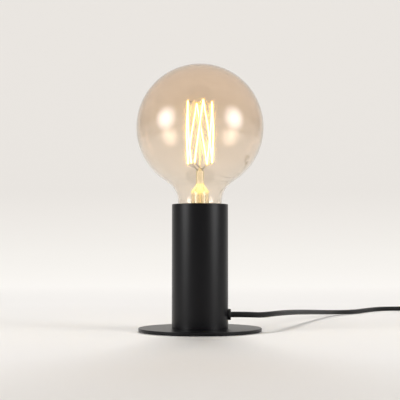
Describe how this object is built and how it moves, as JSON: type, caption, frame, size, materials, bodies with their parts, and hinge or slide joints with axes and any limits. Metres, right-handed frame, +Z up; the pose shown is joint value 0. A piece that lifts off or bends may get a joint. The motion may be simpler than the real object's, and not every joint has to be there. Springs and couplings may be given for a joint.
{
  "type": "table lamp",
  "caption": "Bare bulb table lamp: a large amber globe lamp in a plain black cylinder on a round base, with a textile cord, in-line switch and plug.",
  "frame": {"origin": "centre of the round base, on the table", "axes": "+Z up along the column; the cord leaves the column along +X"},
  "size_m": [0.4495, 0.4152, 0.262],
  "materials": {
    "black_powder_coat": "fine satin powder coat",
    "rubber_pad": "matt sheet rubber",
    "zinc_steel": "bright zinc plate",
    "brass": "turned brass",
    "nickel": "satin nickel plate",
    "black_phenolic": "moulded phenolic",
    "steatite": "fired, unglazed",
    "spring_bronze": "rolled strip",
    "wire_brown": "extruded insulation",
    "wire_blue": "extruded insulation",
    "black_nylon": "moulded nylon",
    "amber_glass": "thin blown glass, amber tint",
    "clear_glass": "drawn glass",
    "black_glass": "fused black glass",
    "solder": "soft solder",
    "support_metal": "drawn wire",
    "glowing_tungsten": "lit coiled wire",
    "black_textile": "braided textile cover",
    "black_gloss_plastic": "moulded, polished tool",
    "black_vinyl": "moulded soft vinyl"
  },
  "bodies": {
    "root": {"foot_pad": "rubber_pad", "base_plate": "black_powder_coat", "base_screws": "zinc_steel", "foot_ring": "black_powder_coat", "column_tube": "black_powder_coat", "holder_bracket": "zinc_steel", "bracket_screws": "zinc_steel", "bracket_nuts": "zinc_steel", "entry_tube": "brass", "entry_washer": "zinc_steel", "entry_nuts": "zinc_steel", "holder_cap": "black_phenolic", "holder_grub_screw": "zinc_steel", "holder_body": "black_phenolic", "terminal_block": "steatite", "terminal_screws": "brass", "centre_contact": "spring_bronze", "threaded_shell": "nickel", "wire_live": "wire_brown", "wire_neutral": "wire_blue", "cord_gland": "black_nylon", "gland_nut": "black_nylon", "cord_tail": "black_textile", "grip_saddle": "black_nylon", "grip_strap": "black_nylon", "grip_screws": "zinc_steel", "cord_run": "black_textile", "cord_link": "black_textile", "cord_end": "black_textile", "cord_coil": "black_textile", "coil_tie": "black_vinyl", "switch_base": "black_gloss_plastic", "switch_cover": "black_gloss_plastic", "switch_axle": "zinc_steel", "switch_contacts": "brass", "switch_screws": "zinc_steel", "plug_body": "black_vinyl", "plug_sleeve": "black_vinyl", "plug_pins": "nickel", "pin_collars": "black_nylon"},
    "bulb_tip": {"cap_contact": "solder"},
    "bulb": {"bulb_glass": "amber_glass", "cap_shell": "brass", "cap_insulator": "black_glass", "stem_flare": "clear_glass", "exhaust_tube": "clear_glass", "support_rod": "clear_glass", "upper_supports": "support_metal", "lower_supports": "support_metal", "lead_wires": "support_metal", "filament": "glowing_tungsten"},
    "rocker": {"switch_rocker": "black_gloss_plastic"}
  },
  "joints": [
    {"name": "bulb_lift", "type": "slide", "parent": "root", "child": "bulb_tip", "axis": [0, 0, 1], "range_m": [0, 0.0182]},
    {"name": "bulb_turn", "type": "hinge", "parent": "bulb_tip", "child": "bulb", "pos_m": [0, 0, 0.1], "axis": [0, 0, 1], "range_deg": [0, 1800]},
    {"name": "switch_rock", "type": "hinge", "parent": "root", "child": "rocker", "pos_m": [0.292, 0.269, 0.011], "axis": [1, 0, 0], "range_deg": [0, 18]}
  ],
  "couplings": [
    {"joint": "bulb_lift", "follows": "bulb_turn", "m_per_rad": 0.00057757}
  ]
}
